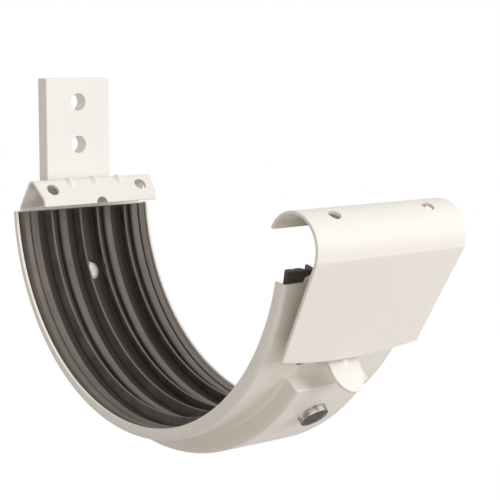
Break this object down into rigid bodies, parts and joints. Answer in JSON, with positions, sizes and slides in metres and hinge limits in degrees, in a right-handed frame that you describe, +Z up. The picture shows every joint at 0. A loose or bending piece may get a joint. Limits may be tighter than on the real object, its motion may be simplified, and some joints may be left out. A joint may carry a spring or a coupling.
{
  "type": "gutter joint bracket",
  "caption": "Saddle of folded sheet with a ribbed rubber seal, a sprung front clip and a flat hanging bar, which joins half-round gutter lengths and carries them on a fascia.",
  "frame": {"origin": "on the flat bar's back face, half-way between its two fixing holes", "axes": "+X along the gutter, +Y out of the back face into the fascia, +Z up"},
  "size_m": [0.0576, 0.1564, 0.114],
  "materials": {
    "painted_sheet": "warm white semi-gloss coating on zinc-coated sheet steel",
    "painted_bar": "warm white powder coating on hot-rolled flat steel",
    "seal_rubber": "matt dark grey extruded EPDM",
    "rivet_steel": "bare zinc-plated steel"
  },
  "bodies": {
    "root": {"body_shell": "painted_sheet", "rubber_seal": "seal_rubber", "flat_bar": "painted_bar", "front_clip": "painted_sheet", "front_rivet": "rivet_steel", "rear_rivet": "painted_sheet"}
  },
  "joints": []
}
